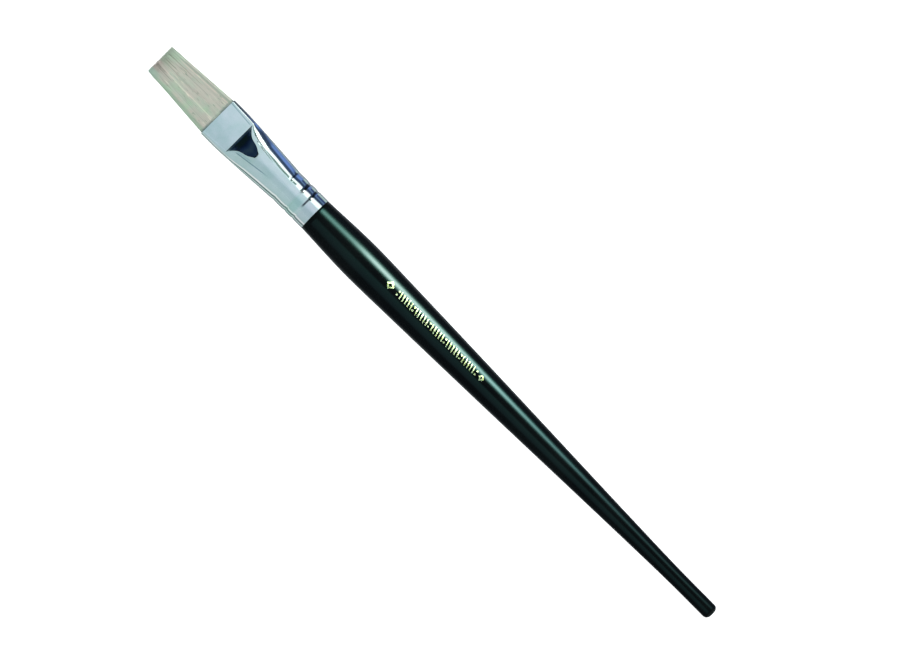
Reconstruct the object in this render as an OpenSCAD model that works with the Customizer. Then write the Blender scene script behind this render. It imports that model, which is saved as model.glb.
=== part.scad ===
// Flat bristle brush with a long lacquered handle.
// The brush lies along X with its tips towards +X and its flat faces up and down.
// Each sub-part is drawn with the ferrule's mouth at x = 0 and the brush's axis on the X axis,
// and placed() then moves it so that the origin is at the bottom centre of the whole brush.

/* [Tuft] */
// Length of bristle outside the ferrule
tuft_len = 35.8; // [28:0.1:45]
// Width of the tuft where it leaves the ferrule
heel_w = 19.8; // [18:0.1:19.9]
// Thickness of the tuft where it leaves the ferrule
heel_t = 5.6; // [5:0.1:5.6]
// Width of the square-cut tip
tip_w = 14.8; // [12:0.1:18]
// Thickness of the tip
tip_t = 2.4; // [1.6:0.1:4]
// Distance from the mouth to the line that the tuft bends about
bend_x = 8.5; // [7:0.1:12]
// Largest bend to either side, in degrees
bend_deg = 25; // [10:1:30]
// Clearance round the knuckle of the bending part
bend_gap = 0.2; // [0.15:0.01:0.3]

/* [Bristle roots] */
// Length of the thick part of the roots, from the mouth inwards
grip_len = 6; // [4:0.1:8]
// Length of all the bristle inside the ferrule
root_len = 19; // [18:0.1:21]
// Width of the bundle behind the grip
root_w = 17.8; // [16:0.1:18]
// Thickness of the bundle behind the grip
root_t = 4.7; // [4:0.1:4.8]
// Thickness of the binding thread
thread_d = 0.42; // [0.3:0.01:0.45]
// Number of turns of binding thread
thread_turns = 6; // [3:1:7]

/* [Ferrule] */
// Length of the whole ferrule
ferrule_len = 59.8; // [58:0.1:64]
// Width across the pressed mouth
mouth_w = 20.7; // [20.7:0.1:23]
// Thickness across the pressed faces
mouth_t = 6.4; // [6.4:0.1:7.4]
// Diameter of the round collar
collar_d = 16.5; // [16:0.1:17]
// Wall of the drawn tube
wall = 0.35; // [0.25:0.01:0.4]
// Length of the pressed flat
land_len = 13.2; // [11:0.1:14]
// Width of the pressed flat at the mouth
land_w = 17.8; // [17:0.1:18]
// Width of the pressed flat at the crease
crease_w = 15.8; // [14:0.1:17]
// Length of the sloped tongue behind the flat
tongue_len = 11.8; // [9:0.1:13]
// Height of the tongue's upper end above the axis
tongue_z = 7.3; // [6.8:0.1:7.6]
// Distance from the mouth to the end of the cone
cone_end = 43.4; // [42:0.1:44]

/* [Crimps] */
// Distance from the mouth to the first crimp
crimp_1 = 42; // [41.5:0.1:42.5]
// Distance from the mouth to the second crimp
crimp_2 = 49; // [48:0.1:50]
// Distance from the mouth to the third crimp
crimp_3 = 53.7; // [53:0.1:55]
// Depth of a rolled crimp
crimp_depth = 0.35; // [0.1:0.05:0.4]

/* [Handle] */
// Length of handle outside the ferrule
handle_len = 244.4; // [236:0.1:260]
// Diameter where the handle leaves the ferrule
throat_d = 16.4; // [16:0.1:16.5]
// Diameter at the belly
belly_d = 18.4; // [17.6:0.1:20]
// Distance from the ferrule to the belly
belly_at = 28.6; // [25:0.1:32]
// Diameter at the shoulder, where the taper starts
shoulder_d = 17.5; // [16.5:0.1:17.5]
// Distance from the ferrule to the shoulder
shoulder_at = 50; // [45:1:55]
// Diameter at the middle of the taper
middle_d = 14.1; // [13:0.1:15]
// Distance from the ferrule to the middle of the taper
middle_at = 110; // [100:1:120]
// Diameter at the neck, where the taper ends
neck_d = 8.4; // [8:0.1:9]
// Distance from the ferrule to the neck
neck_at = 198; // [190:1:205]
// Diameter of the straight tail
tail_d = 7.1; // [6.5:0.1:7.8]
// Length of the straight tail
tail_len = 14.4; // [10:0.1:16]
// Radius round the tail's end
tail_fillet = 2.2; // [1:0.1:3]
// Thickness of the lacquer
coat = 0.15; // [0.1:0.01:0.25]
// Length of the tenon inside the ferrule
tenon_len = 22; // [18:0.1:24]
// Thickness of glue between the tenon and the ferrule
glue = 0.15; // [0.1:0.01:0.2]

/* [Foil ornaments] */
// Distance from the ferrule to the first ornament
foil_start = 45; // [30:0.1:50]
// Height of an ornament across the handle
foil_h = 3.2; // [2:0.1:3.4]
// Distance from one ornament to the next
foil_pitch = 1.6; // [1.5:0.1:2.6]
// Thickness of the foil
foil_t = 0.05; // [0.04:0.01:0.08]

/* [Hidden] */

// Steps in a quarter of the ferrule's section
quarter = 9;
// Facets of the turned pieces
turned = 96;
// Fit between pieces that lie against each other
fit = 0.03;
// Space to cut past a face
past = 1;
brush_len = tuft_len + ferrule_len + handle_len;
mouth_x = brush_len / 2 - tuft_len;
axis_z = belly_d / 2;
left = 1;
right = -1;

// Moves a sub-part from the mouth's frame to the brush's own frame.
module placed() {
    translate([mouth_x, 0, axis_z]) children();
}

function clamp01(u) = min(max(u, 0), 1);
function ease(u) = let (c = clamp01(u)) c * c * (3 - 2 * c);
function mix(a, b, u) = a + (b - a) * u;

// ---- Ferrule section, at s from the mouth towards the handle ----

// Where the sides start to draw in from the mouth's width
side_start = 8;
// How the sides draw in: 1 is a straight cone
side_power = 1.15;
tongue_end = land_len + tongue_len;

// Half of the least width of flat that stays on the round tube, so that no edge vanishes
seam = 0.25;

function half_width(s) =
    mix(mouth_w / 2, collar_d / 2, pow(clamp01((s - side_start) / (cone_end - side_start)), side_power));

// Height of the section's top: the flat, then the sloped tongue, then the cone's crown
function top_height(s) =
    s <= land_len ? mouth_t / 2
    : s <= tongue_end ? mix(mouth_t / 2, tongue_z, (s - land_len) / tongue_len)
    : mix(collar_d / 2, tongue_z, pow(1 - clamp01((s - tongue_end) / (cone_end - tongue_end)), 2));

// How blunt the tongue's end is: 0.5 is round and 1 is a point
tongue_point = 0.75;
// How far the tongue's sides curve in over its first half
tongue_waist = 9;

// Half width of the pressed surface. Past the crease its sides curve in, then round to a blunt end.
function flat_half(s) =
    s <= land_len ? mix(land_w, crease_w, s / land_len) / 2
    : let (u = clamp01((s - land_len) / tongue_len))
      max(seam, crease_w / 2 * (pow(1 - u, tongue_point) - tongue_waist * u * u * pow(1 - u, 4)));

// Share of the tongue over which the centres of the two sides come together on the axis
side_merge = 0.45;

// Where the side's ellipse has its centre: at the flat's edge on the land, on the axis past the tongue
function side_centre(s) =
    flat_half(s) * (1 - ease((s - land_len) / (side_merge * tongue_len))) * (s < tongue_end ? 1 : 0);

// Half the width of a crimp
crimp_half = 1.1;
// Depth of the third crimp as a share of the others'
last_crimp = 0.7;

// Depth of the rolled crimps at s
function crimp_dip(s, at) = crimp_depth * (1 - ease(abs(s - at) / crimp_half));
function crimps(s) = crimp_dip(s, crimp_1) + crimp_dip(s, crimp_2) + last_crimp * crimp_dip(s, crimp_3);

// The least width of round side beside the pressed surface
least_side = 0.2;

// One closed ring of points of the tube, inset from its outer surface
function ring(s, inset) =
    let (
        dip = inset + crimps(s),
        a = half_width(s) - dip,
        top = top_height(s) - dip,
        w = min(flat_half(s), a - least_side),
        c = min(side_centre(s), w),
        sweep = acos(clamp01((w - c) / (a - c))),
        b = top / sin(sweep),
        right_arc = [for (k = [0:quarter])
            [c + (a - c) * cos(sweep * k / quarter), b * sin(sweep * k / quarter)]],
        upper = concat(right_arc, [for (k = [quarter:-1:0]) [-right_arc[k][0], right_arc[k][1]]])
    )
    concat(
        [for (p = upper) [-s, p[0], p[1]]],
        [for (k = [2 * quarter:-1:1]) [-s, upper[k][0], -upper[k][1]]]
    );
ring_size = 4 * quarter + 2;

function side_faces(first, rings) = [
    for (i = [0:rings - 2], k = [0:ring_size - 1])
        let (a = first + i * ring_size + k, b = first + i * ring_size + (k + 1) % ring_size)
        [a, b, b + ring_size, a + ring_size]
];
function flipped(faces) = [for (f = faces) [for (k = [len(f) - 1:-1:0]) f[k]]];
function flat_list(lists) = [for (l = lists, p = l) p];

// A tube whose wall lies between two insets, along the distances in stations
module tube(stations, outer_inset, inner_inset) {
    count = len(stations);
    inner = count * ring_size;
    points = concat(
        flat_list([for (s = stations) ring(s, outer_inset)]),
        flat_list([for (s = stations) ring(s, inner_inset)])
    );
    mouth_faces = [for (k = [0:ring_size - 1]) let (n = (k + 1) % ring_size) [k, inner + k, inner + n, n]];
    last = (count - 1) * ring_size;
    tail_faces = [for (f = mouth_faces) [for (k = [3:-1:0]) f[k] + last]];
    polyhedron(
        points,
        concat(side_faces(0, count), flipped(side_faces(inner, count)), mouth_faces, tail_faces)
    );
}

// A solid plug that fills the tube up to an inset
module plug(stations, inset) {
    count = len(stations);
    front = [for (k = [ring_size - 1:-1:0]) k];
    back = [for (k = [0:ring_size - 1]) (count - 1) * ring_size + k];
    polyhedron(flat_list([for (s = stations) ring(s, inset)]), concat(side_faces(0, count), [front, back]));
}

function steps(from, to, count) = [for (k = [0:count - 1]) mix(from, to, k / count)];

// Distances at which the ferrule's section is taken: close together in the tongue and the crimps
function crimp_steps(at) = [for (k = [-1, -0.66, -0.33, 0, 0.33, 0.66, 1]) at + k * crimp_half];
tongue_steps = 9;
ferrule_stations = concat(
    steps(0, land_len, 3),
    steps(land_len, tongue_end, tongue_steps),
    steps(tongue_end, crimp_1 - crimp_half, 5),
    crimp_steps(crimp_1),
    crimp_steps(crimp_2),
    crimp_steps(crimp_3),
    [ferrule_len]
);

module ferrule() {
    color("silver") placed() tube(ferrule_stations, 0, wall);
}

// ---- Turned handle, at t from the ferrule towards the tail ----

straight_from = handle_len - tail_len;
girths = [
    [0, throat_d],
    [belly_at, belly_d],
    [shoulder_at, shoulder_d],
    [middle_at, middle_d],
    [neck_at, neck_d],
    [straight_from, tail_d]
];
spans = len(girths) - 1;
span_steps = [6, 5, 7, 8, 6];

// The outline's slope at a girth: none at the belly and the tail, and the chord's elsewhere
function girth_slope(i) =
    i == 1 || i == spans ? 0
    : let (a = girths[max(i - 1, 0)], b = girths[min(i + 1, spans)]) (b[1] - a[1]) / (b[0] - a[0]) / 2;

function on_span(i, u) =
    let (
        a = girths[i],
        b = girths[i + 1],
        run = b[0] - a[0],
        lift = u * pow(1 - u, 2) * girth_slope(i) - u * u * (1 - u) * girth_slope(i + 1)
    )
    [a[0] + run * u, mix(a[1], b[1], ease(u)) / 2 + run * lift];

// Half outline of the handle, inset by the lacquer or not, with its rounded end
function handle_outline(inset) = concat(
    [for (i = [0:spans - 1], k = [0:span_steps[i] - 1])
        let (p = on_span(i, k / span_steps[i]))
        [p[0], p[1] - inset]],
    [[straight_from, tail_d / 2 - inset]],
    [for (k = [0:6])
        [
            handle_len - tail_fillet + (tail_fillet - inset) * sin(15 * k),
            tail_d / 2 - tail_fillet + (tail_fillet - inset) * cos(15 * k)
        ]],
    [[handle_len - inset, 0]]
);

// Turns a half outline of [distance from the mouth, radius] about the brush's axis
module turn(outline) {
    rotate([0, -90, 0]) rotate_extrude($fn = turned) polygon([for (p = outline) [p[1], p[0]]]);
}

// The outline past the ferrule as [distance from the mouth, radius]
function past_ferrule(outline) = [for (p = outline) [ferrule_len + p[0], p[1]]];

module lacquer_coat() {
    inside = past_ferrule(handle_outline(coat));
    color([0.05, 0.06, 0.06]) placed()
        turn(concat(past_ferrule(handle_outline(0)), [for (k = [len(inside) - 1:-1:0]) inside[k]]));
}

// The least inner radius of the ferrule at s, less the flats of its facets
function bore_radius(s) = (top_height(s) - wall - crimps(s)) * cos(180 / ring_size) - fit;

tenon_front = ferrule_len - tenon_len;
tenon_stations = concat(
    [tenon_front],
    crimp_steps(crimp_1),
    crimp_steps(crimp_2),
    crimp_steps(crimp_3),
    [ferrule_len]
);
tenon_chamfer = 1;

module wooden_handle() {
    color("burlywood") placed()
        turn(concat(
            [[tenon_front, 0], [tenon_front, bore_radius(tenon_front) - glue - tenon_chamfer]],
            [[tenon_front + tenon_chamfer, bore_radius(tenon_front) - glue]],
            [for (k = [1:len(tenon_stations) - 1])
                [tenon_stations[k], bore_radius(tenon_stations[k]) - glue]],
            past_ferrule(handle_outline(coat))
        ));
}

// A sleeve on the tenon, with a thin pad of squeezed-out glue over its front
glue_pad = 1.5;
module handle_glue() {
    inner = concat(
        [for (k = [len(tenon_stations) - 1:-1:1]) [tenon_stations[k], bore_radius(tenon_stations[k]) - glue]],
        [[tenon_front + tenon_chamfer, bore_radius(tenon_front) - glue]],
        [[tenon_front, bore_radius(tenon_front) - glue - tenon_chamfer], [tenon_front, 0]]
    );
    pad_front = tenon_front - glue_pad;
    color("goldenrod") placed()
        turn(concat(
            [[pad_front, 0], [pad_front, bore_radius(pad_front)]],
            [for (s = tenon_stations) [s, bore_radius(s)]],
            inner
        ));
}

// ---- Bristle bundle, along x from the mouth towards the tips ----

// A flat bar with round edges along X
module bar(from, to, width, thickness) {
    translate([from, 0, 0]) rotate([90, 0, 90]) linear_extrude(to - from) bar_section(width, thickness);
}

module bar_section(width, thickness) {
    square([width - thickness, thickness], center = true);
    for (side = [left, right])
        translate([side * (width - thickness) / 2, 0]) circle(d = thickness, $fn = 48);
}

// Keeps the half of a bundle that lies to one side
module half_of_bundle(side) {
    intersection() {
        children();
        translate([-root_len - past, side > 0 ? 0 : -mouth_w, -mouth_t])
            cube([root_len + tuft_len + 2 * past, mouth_w, 2 * mouth_t]);
    }
}

// The tuft's plan, narrowing from the mouth to the tip
module tuft_plan() {
    linear_extrude(2 * mouth_t, center = true)
        polygon([[0, -heel_w / 2], [tuft_len, -tip_w / 2], [tuft_len, tip_w / 2], [0, heel_w / 2]]);
}

// The knuckle's socket clears the toe's corners at the full bend
socket_r = heel_t / 2 / cos(bend_deg / 2) + bend_gap;

module bristle_heel(side) {
    half_of_bundle(side)
        difference() {
            union() {
                bar(-root_len, -grip_len, root_w, root_t);
                bar(-grip_len, 0, heel_w, heel_t);
                intersection() {
                    bar(0, bend_x, heel_w, heel_t);
                    tuft_plan();
                }
            }
            translate([bend_x, 0, 0]) rotate([90, 0, 0])
                cylinder(h = mouth_w + past, r = socket_r, center = true, $fn = turned);
        }
}

module bristle_toe(side) {
    half_of_bundle(side)
        intersection() {
            bar(0, tuft_len, heel_w, heel_t);
            tuft_plan();
            rotate([90, 0, 0]) union() {
                cylinder_at_bend();
                linear_extrude(mouth_w, center = true)
                    polygon([
                        [bend_x, -heel_t / 2],
                        [tuft_len, -tip_t / 2],
                        [tuft_len, tip_t / 2],
                        [bend_x, heel_t / 2]
                    ]);
            }
        }
}

// The knuckle that the toe turns on
module cylinder_at_bend() {
    translate([bend_x, 0, 0]) cylinder(h = mouth_w, d = heel_t, center = true, $fn = turned);
}

module bristle_heel_left() {
    color("wheat") placed() bristle_heel(left);
}

module bristle_heel_right() {
    color("wheat") placed() bristle_heel(right);
}

module bristle_toe_left() {
    color("cornsilk") placed() bristle_toe(left);
}

module bristle_toe_right() {
    color("cornsilk") placed() bristle_toe(right);
}

// ---- What holds the roots ----

thread_from = 13.8;
thread_step = thread_d + 0.06;

module thread_turn(at) {
    translate([-at, 0, 0]) rotate([90, 0, 90])
        linear_extrude(thread_d)
            difference() {
                bar_section(root_w + 2 * thread_d, root_t + 2 * thread_d);
                bar_section(root_w, root_t);
            }
}

module binding_thread() {
    color("white") placed()
        for (k = [0:thread_turns - 1])
            thread_turn(thread_from + k * thread_step);
}

// The resin starts just behind the grip and ends in the cone
resin_from = grip_len + 0.5;
resin_to = 27;
resin_stations = concat([resin_from], steps(land_len, tongue_end, tongue_steps), [tongue_end, resin_to]);

module setting_resin() {
    color("sienna") placed()
        difference() {
            plug(resin_stations, wall + fit);
            bar(-root_len, past - resin_from, root_w, root_t);
            bar(
                -thread_from - (thread_turns - 1) * thread_step,
                -thread_from + thread_d,
                root_w + 2 * thread_d,
                root_t + 2 * thread_d
            );
        }
}

// ---- Foil ornaments on the lacquer ----

foil_count = 36;
// The row starts a little to the right of the handle's top line and drifts back towards it
foil_y = -1.7;
foil_drift = 0.6;

// A lozenge with an open middle
module lozenge(size) {
    difference() {
        circle(d = size, $fn = 4);
        circle(d = size / 2, $fn = 4);
    }
}

module slanted_stroke() {
    polygon([
        [-0.75, -foil_h / 2],
        [-0.15, -foil_h / 2],
        [0.75, foil_h / 2],
        [0.15, foil_h / 2]
    ]);
}

module dot_pair() {
    for (y = [-0.28, 0.28]) translate([0, y * foil_h]) circle(d = 0.9, $fn = 16);
}

// A large lozenge opens the row and a small one closes it, and dots part its groups of strokes
module ornament(k) {
    if (k == 0) lozenge(foil_h * 1.3);
    else if (k == foil_count - 1) lozenge(foil_h * 0.9);
    else if (k % 6 == 3) dot_pair();
    else if (k > 2 && k < foil_count - 2) slanted_stroke();
}

// The stretch of handle under the ornaments, raised by lift, as an outline to turn
band_spare = 12;
function foil_band(lift) =
    let (
        from = foil_start - band_spare,
        to = foil_start + foil_count * foil_pitch + band_spare,
        band = [for (p = handle_outline(-lift)) if (p[0] > from && p[0] < to) p]
    )
    past_ferrule(concat([[band[0][0], 0]], band, [[band[len(band) - 1][0], 0]]));

// Places a row's drawing on the handle: its x runs towards the tail
module foil_row() {
    translate([-ferrule_len - foil_start, foil_y, 0]) rotate(-foil_drift) mirror([1, 0]) children();
}

module foil_imprint() {
    color("gold") placed()
        intersection() {
            foil_row() linear_extrude(belly_d)
                for (k = [0:foil_count - 1]) translate([k * foil_pitch, 0]) ornament(k);
            difference() {
                turn(foil_band(foil_t));
                turn(foil_band(0));
            }
        }
}

wooden_handle();
lacquer_coat();
foil_imprint();
ferrule();
handle_glue();
setting_resin();
binding_thread();
bristle_heel_left();
bristle_heel_right();
bristle_toe_left();
bristle_toe_right();
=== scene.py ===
"""Looks for the flat bristle brush: drawn nickel ferrule, lacquered handle, foil ornaments and strands."""

import math

import bpy
import numpy as np
from mathutils import Matrix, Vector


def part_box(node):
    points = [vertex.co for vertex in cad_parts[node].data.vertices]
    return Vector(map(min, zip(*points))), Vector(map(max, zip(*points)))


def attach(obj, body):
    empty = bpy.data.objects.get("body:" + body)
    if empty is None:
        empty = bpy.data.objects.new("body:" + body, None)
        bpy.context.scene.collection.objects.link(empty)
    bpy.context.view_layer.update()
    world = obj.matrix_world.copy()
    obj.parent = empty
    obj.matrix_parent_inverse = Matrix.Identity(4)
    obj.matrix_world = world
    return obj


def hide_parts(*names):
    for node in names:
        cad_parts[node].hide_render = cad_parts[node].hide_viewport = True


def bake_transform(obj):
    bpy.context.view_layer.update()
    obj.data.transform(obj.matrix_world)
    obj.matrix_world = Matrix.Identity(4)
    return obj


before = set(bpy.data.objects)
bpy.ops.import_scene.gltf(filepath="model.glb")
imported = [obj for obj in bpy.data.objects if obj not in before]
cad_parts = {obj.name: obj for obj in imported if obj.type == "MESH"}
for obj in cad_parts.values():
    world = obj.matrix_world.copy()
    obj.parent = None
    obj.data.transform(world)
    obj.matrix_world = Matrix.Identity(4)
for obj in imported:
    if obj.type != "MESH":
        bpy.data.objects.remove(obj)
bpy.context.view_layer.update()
MM = 0.001

# ---- Places from the CAD frame, in millimetres ----

ferrule_low, ferrule_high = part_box("ferrule")
tail_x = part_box("lacquer_coat")[0].x
tip_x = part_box("bristle_toe_left")[1].x
MOUTH_X = ferrule_high.x / MM
AXIS_Z = (ferrule_low.z + ferrule_high.z) / 2 / MM
FERRULE_LEN = (ferrule_high.x - ferrule_low.x) / MM
HANDLE_LEN = (ferrule_low.x - tail_x) / MM
TUFT_LEN = (tip_x - ferrule_high.x) / MM
MOUTH_W = (ferrule_high.y - ferrule_low.y) / MM
HEEL_W = 2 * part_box("bristle_heel_left")[1].y / MM


def to_world(points):
    """From mm, as (distance from the mouth to the handle, y, z from the axis), to the row frame in metres."""
    p = np.asarray(points, float).reshape(-1, 3)
    return np.column_stack([MOUTH_X - p[:, 0], p[:, 1], AXIS_Z + p[:, 2]]) * MM


# ---- Small helpers ----


def mix(a, b, u):
    return a + (b - a) * u


def clamp01(u):
    return np.clip(u, 0.0, 1.0)


def ease(u):
    c = clamp01(u)
    return c * c * (3 - 2 * c)


def smooth_min(a, b, k):
    h = np.maximum(k - np.abs(a - b), 0) / k
    return np.minimum(a, b) - h * h * k / 4


def mesh_object(name, points, *face_sets):
    """A mesh object from points and arrays of faces, each array with one number of corners."""
    mesh = bpy.data.meshes.new(name)
    corners = np.concatenate([f.ravel() for f in face_sets]).astype(np.int32)
    sizes = np.concatenate([np.full(len(f), f.shape[1]) for f in face_sets])
    starts = np.concatenate([[0], np.cumsum(sizes)[:-1]]).astype(np.int32)
    mesh.vertices.add(len(points))
    mesh.vertices.foreach_set("co", np.asarray(points, np.float32).ravel())
    mesh.loops.add(len(corners))
    mesh.loops.foreach_set("vertex_index", corners)
    mesh.polygons.add(len(sizes))
    mesh.polygons.foreach_set("loop_start", starts)
    mesh.update(calc_edges=True)
    mesh.validate()
    mesh.shade_smooth()
    made = bpy.data.objects.new(name, mesh)
    bpy.context.collection.objects.link(made)
    return made


def ring_quads(rings, size, closed=False):
    """Faces between rings of points that follow each other."""
    i = np.arange(rings if closed else rings - 1)[:, None]
    k = np.arange(size)[None, :]
    a, b = i * size + k, i * size + (k + 1) % size
    c, d = ((i + 1) % rings) * size + (k + 1) % size, ((i + 1) % rings) * size + k
    return np.stack([a, b, c, d], -1).reshape(-1, 4)


def tube_faces(rings, size):
    """Side and end faces of a tube whose rings are followed by the middle points of its two ends."""
    k = np.arange(size)
    first, last, last_ring = rings * size, rings * size + 1, (rings - 1) * size
    ends = [
        np.column_stack([np.full(size, first), (k + 1) % size, k]),
        np.column_stack([np.full(size, last), last_ring + k, last_ring + (k + 1) % size]),
    ]
    return ring_quads(rings, size), np.concatenate(ends)


# ---- Node helpers ----


def node(tree, kind, inputs=None, **settings):
    made = tree.nodes.new("ShaderNode" + kind)
    for key, value in settings.items():
        setattr(made, key, value)
    for key, value in (inputs or {}).items():
        if isinstance(value, bpy.types.NodeSocket):
            tree.links.new(value, made.inputs[key])
        else:
            made.inputs[key].default_value = value
    return made


def maths(tree, operation, a, b=0.0):
    return node(tree, "Math", {0: a, 1: b}, operation=operation).outputs[0]


def ramp(tree, factor, stops, interpolation="LINEAR"):
    made = node(tree, "ValToRGB", {"Fac": factor})
    made.color_ramp.interpolation = interpolation
    elements = made.color_ramp.elements
    elements[0].position, elements[1].position = stops[0][0], stops[-1][0]
    for at, _ in stops[1:-1]:
        elements.new(at)
    for element, (_, colour) in zip(elements, stops):
        element.color = (*colour, 1) if isinstance(colour, tuple) else (colour, colour, colour, 1)
    return made.outputs["Color"]


def noise(tree, vector, scale, detail=2.0, stretch=(1, 1, 1)):
    mapped = node(tree, "Mapping", {"Vector": vector, "Scale": stretch}).outputs[0]
    return node(tree, "TexNoise", {"Vector": mapped, "Scale": scale, "Detail": detail}).outputs[0]


def tinted(tree, factor, a, b, blend="MIX"):
    made = node(tree, "Mix", {"Factor": factor}, data_type="RGBA", blend_type=blend)
    for socket, value in ((made.inputs[6], a), (made.inputs[7], b)):
        if isinstance(value, bpy.types.NodeSocket):
            tree.links.new(value, socket)
        else:
            socket.default_value = (*value, 1)
    return made.outputs[2]


def scaled(tree, value, low, high):
    return node(tree, "MapRange", {"Value": value, "To Min": low, "To Max": high}).outputs[0]


def near(tree, value, centre, half):
    """1 where the value is at the centre, easing to 0 at half to either side."""
    apart = maths(tree, "ABSOLUTE", maths(tree, "SUBTRACT", value, centre))
    limits = {"Value": apart, "From Min": 0.0, "From Max": half, "To Min": 1.0, "To Max": 0.0}
    return node(tree, "MapRange", limits, interpolation_type="SMOOTHSTEP").outputs[0]


def rising(tree, value, low, high):
    """0 below low, easing to 1 above high; the other way round if high is the smaller."""
    limits = {"Value": value, "From Min": low, "From Max": high}
    return node(tree, "MapRange", limits, interpolation_type="SMOOTHSTEP").outputs[0]


def product(tree, first, *others):
    for other in others:
        first = maths(tree, "MULTIPLY", first, other)
    return first


def band(tree, value, start, full, fading, end):
    """1 between full and fading, easing to 0 at start and at end."""
    return product(tree, rising(tree, value, start, full), rising(tree, value, end, fading))


def turned_towards(tree, colour, shade_and_stain, *shares):
    """The colour turned towards another, that of a stain, a painted shade or a painted reflection, by the
    product of the shares.
    """
    return tinted(tree, product(tree, *shares), colour, shade_and_stain)


def bumped(tree, height, strength, distance, normal=None):
    inputs = {"Height": height, "Strength": strength, "Distance": distance}
    if normal is not None:
        inputs["Normal"] = normal
    return node(tree, "Bump", inputs).outputs[0]


def material(name, **fixed):
    """A material, its node tree and its Principled shader, with the sockets named in fixed set."""
    made = bpy.data.materials.new(name)
    made.use_nodes = True
    shader = made.node_tree.nodes["Principled BSDF"]
    for key, value in fixed.items():
        shader.inputs[key.replace("_", " ")].default_value = value
    return made, made.node_tree, shader


def dress(obj, made):
    obj.data.materials.clear()
    obj.data.materials.append(made)


# ---- Materials ----


def marked_nickel(tree, clean, s, y, above):
    """The plate's colour at s from the mouth and y across, with painted shade along the fold line, in the
    crimps and by the land's edge, and faint painted reflections.
    """
    from_fold = maths(tree, "ADD", y, maths(tree, "MULTIPLY", s, FOLD_LEAN))
    fold_run = product(tree, band(tree, s, *FOLD_BAND), above)
    # Painted shade: a blue-grey band beside the fold line, between it and the tongue's +Y edge
    shade = near(tree, from_fold, FOLD_AT_MOUTH - SHADE_ASIDE, SHADE_HALF)
    colour = turned_towards(tree, clean, (0.26, 0.42, 0.52), shade, rising(tree, s, *SHADE_FADE), fold_run, 0.35)
    # Painted shade: a dark blue-grey line along the fold line's groove
    fold = near(tree, from_fold, FOLD_AT_MOUTH, FOLD_MARK_HALF)
    colour = turned_towards(tree, colour, (0.14, 0.24, 0.30), fold, fold_run, 0.75)
    # Painted shade: a near-black blue line at each crimp, over that crimp's span across
    for (at, _, _), (from_y, to_y, strength) in zip(CRIMPS, CRIMP_PAINTED_SHADE):
        side = band(tree, y, from_y - CRIMP_SHADE_START, from_y, to_y, to_y + CRIMP_SHADE_END)
        colour = turned_towards(tree, colour, (0.010, 0.016, 0.035), near(tree, s, at, CRIMP_SHADE_HALF), side, strength)
    # Painted reflections: a faint green tint between the second and third crimps and a mauve one at the
    # collar's end, on the upper face
    green_reflection = product(tree, band(tree, s, *GREEN_BAND), rising(tree, y, *GREEN_SIDE), above)
    colour = turned_towards(tree, colour, (0.44, 0.66, 0.60), green_reflection, 0.45)
    mauve_reflection = product(tree, rising(tree, s, *MAUVE_START), rising(tree, y, *MAUVE_SIDE), above)
    colour = turned_towards(tree, colour, (0.74, 0.66, 0.74), mauve_reflection, 0.4)
    # Painted shade: a grey-green line just inside the land's -Y fold edge, fading out at the crease
    edge = maths(tree, "SUBTRACT", maths(tree, "MULTIPLY", s, EDGE_LEAN), LAND_W / 2)
    painted_edge_shade = near(tree, maths(tree, "SUBTRACT", y, edge), EDGE_LINE_IN, EDGE_LINE_HALF)
    return turned_towards(tree, colour, (0.34, 0.46, 0.46), painted_edge_shade, rising(tree, s, *EDGE_LINE_FADE), above, 0.8)


def nickel_material():
    made, tree, shader = material("drawn_nickel", Metallic=1.0)
    place = node(tree, "TexCoord").outputs["Object"]
    mottle = noise(tree, place, 160, 3)
    smudge = noise(tree, place, 60, 4)
    draw_lines = noise(tree, place, 900, 2, (0.06, 1, 1))
    clean = ramp(tree, mottle, [(0.3, (0.69, 0.755, 0.74)), (0.7, (0.82, 0.81, 0.83))])
    in_mm = node(tree, "Mapping", {"Vector": place, "Scale": (1 / MM,) * 3}).outputs[0]
    place_mm = node(tree, "SeparateXYZ", {0: in_mm})
    s = maths(tree, "SUBTRACT", MOUTH_X, place_mm.outputs["X"])
    y = place_mm.outputs["Y"]
    above = maths(tree, "GREATER_THAN", place_mm.outputs["Z"], AXIS_Z)
    tree.links.new(marked_nickel(tree, clean, s, y, above), shader.inputs["Base Color"])
    rough = maths(tree, "ADD", scaled(tree, smudge, 0.05, 0.14), scaled(tree, draw_lines, 0.0, 0.05))
    burnished = product(tree, band(tree, s, *BURNISH_BAND), near(tree, y, 0.0, BURNISH_HALF), 0.7)
    left = maths(tree, "SUBTRACT", 1.0, burnished)
    tree.links.new(maths(tree, "MULTIPLY", rough, left), shader.inputs["Roughness"])
    tree.links.new(bumped(tree, draw_lines, 0.12, 0.00001), shader.inputs["Normal"])
    return made


def lacquer_material():
    made, tree, shader = material("black_lacquer", IOR=1.45, Specular_IOR_Level=0.3)
    place = node(tree, "TexCoord").outputs["Object"]
    depth = noise(tree, place, 35, 3)
    dust = noise(tree, place, 900, 2)
    flow = noise(tree, place, 220, 2, (0.25, 1, 1))
    tree.links.new(
        ramp(tree, depth, [(0.3, (0.0022, 0.0030, 0.0036)), (0.7, (0.0038, 0.0056, 0.0060))]),
        shader.inputs["Base Color"],
    )
    tree.links.new(
        maths(tree, "ADD", scaled(tree, depth, 0.10, 0.16), scaled(tree, dust, 0.0, 0.06)),
        shader.inputs["Roughness"],
    )
    tree.links.new(bumped(tree, flow, 0.1, 0.00006), shader.inputs["Normal"])
    return made


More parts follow.
